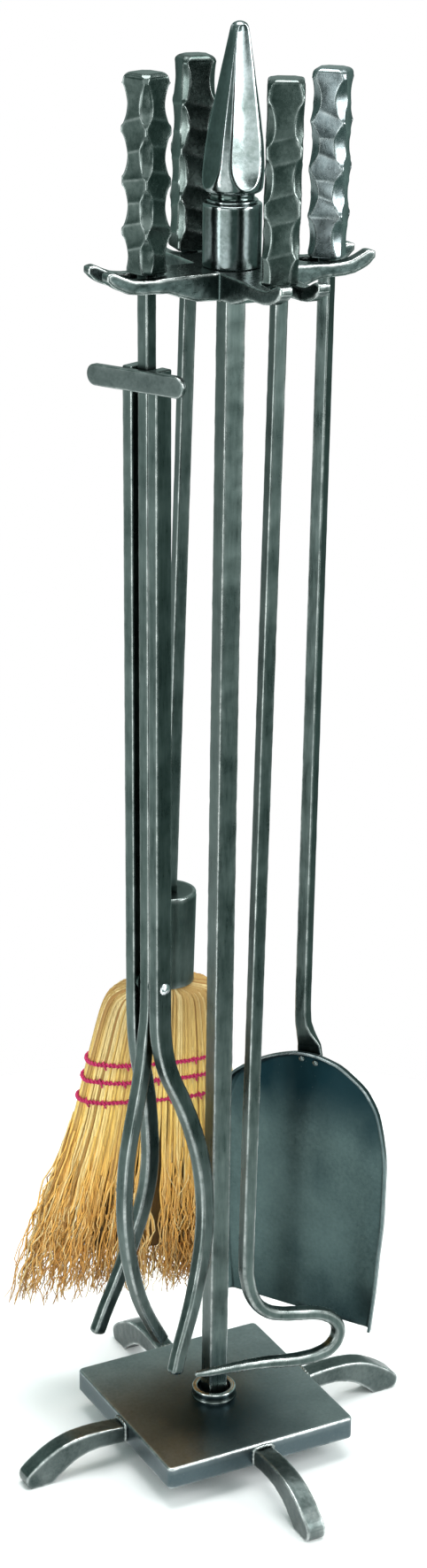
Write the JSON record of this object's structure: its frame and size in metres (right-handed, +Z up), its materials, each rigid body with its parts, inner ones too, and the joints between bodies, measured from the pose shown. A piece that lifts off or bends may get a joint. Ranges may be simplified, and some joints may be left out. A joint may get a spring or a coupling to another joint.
{
  "type": "fireplace tool set",
  "caption": "Fireplace tool set: log tongs, hearth brush, poker and shovel hanging on a forked hanger around a square post on a footed base plate.",
  "frame": {"origin": "on the floor, on the axis of the post, in the middle of the four feet", "axes": "+Z up along the post; +X towards the shovel's fork and right foot; -Y towards the poker's fork and front foot; +Y towards the brush; -X towards the tongs"},
  "size_m": [0.2758, 0.2758, 0.914],
  "materials": {
    "forged_iron": "burnished graphite, bright on worn edges",
    "hammered_iron": "hammered, burnished graphite with bright ridges",
    "burnished_iron": "burnished and lightly polished",
    "plate_iron": "satin graphite, scuffed, bright worn edges",
    "pan_sheet": "dark sheet, smoke stained and scuffed",
    "ferrule_sheet": "dark satin sheet",
    "bright_steel": "bright",
    "copper_nail": "aged copper",
    "broom_straw": "dry natural broom corn, browner at the tips",
    "stitch_cord": "dyed waxed twine"
  },
  "bodies": {
    "root": {"base_plate": "plate_iron", "base_collar": "plate_iron", "post": "forged_iron", "base_bolt": "bright_steel", "base_washer": "bright_steel", "foot_right": "forged_iron", "foot_back": "forged_iron", "foot_left": "forged_iron", "foot_front": "forged_iron", "hanger_hub": "forged_iron", "fork_right": "forged_iron", "fork_back": "forged_iron", "fork_left": "forged_iron", "fork_front": "forged_iron", "finial_socket": "burnished_iron", "finial": "burnished_iron", "finial_stud": "bright_steel"},
    "tongs": {"tongs_handle": "hammered_iron", "tongs_shaft": "forged_iron", "tongs_pivot_rivet": "bright_steel", "tongs_washer_left": "forged_iron", "tongs_washer_right": "forged_iron"},
    "tongs_levers": {"tongs_left_lever": "forged_iron", "tongs_right_lever": "forged_iron", "tongs_crossbar": "burnished_iron"},
    "brush": {"brush_handle": "hammered_iron", "brush_shaft": "forged_iron", "brush_ferrule": "ferrule_sheet", "brush_ferrule_nail": "copper_nail", "brush_bristles": "broom_straw", "brush_stitch_upper": "stitch_cord", "brush_stitch_middle": "stitch_cord", "brush_stitch_lower": "stitch_cord"},
    "poker": {"poker_handle": "hammered_iron", "poker_shaft": "forged_iron"},
    "shovel": {"shovel_handle": "hammered_iron", "shovel_shaft": "forged_iron", "shovel_pan": "pan_sheet", "shovel_rivet_left": "burnished_iron", "shovel_rivet_right": "burnished_iron"}
  },
  "joints": [
    {"name": "tongs_lift", "type": "slide", "parent": "root", "child": "tongs", "axis": [-0.7071, 0, 0.7071], "range_m": [0, 0.09]},
    {"name": "brush_lift", "type": "slide", "parent": "root", "child": "brush", "axis": [0, 0.7071, 0.7071], "range_m": [0, 0.09]},
    {"name": "poker_lift", "type": "slide", "parent": "root", "child": "poker", "axis": [0, -0.7071, 0.7071], "range_m": [0, 0.09]},
    {"name": "shovel_lift", "type": "slide", "parent": "root", "child": "shovel", "axis": [0.7071, 0, 0.7071], "range_m": [0, 0.09]},
    {"name": "tongs_open", "type": "hinge", "parent": "tongs", "child": "tongs_levers", "pos_m": [-0.04901, 0.002, 0.336], "axis": [0.319, -0.9478, 0], "range_deg": [0, 20]}
  ],
  "couplings": [
    {"joint": "tongs_open", "follows": "tongs_lift", "rad_per_m": 3.87}
  ]
}
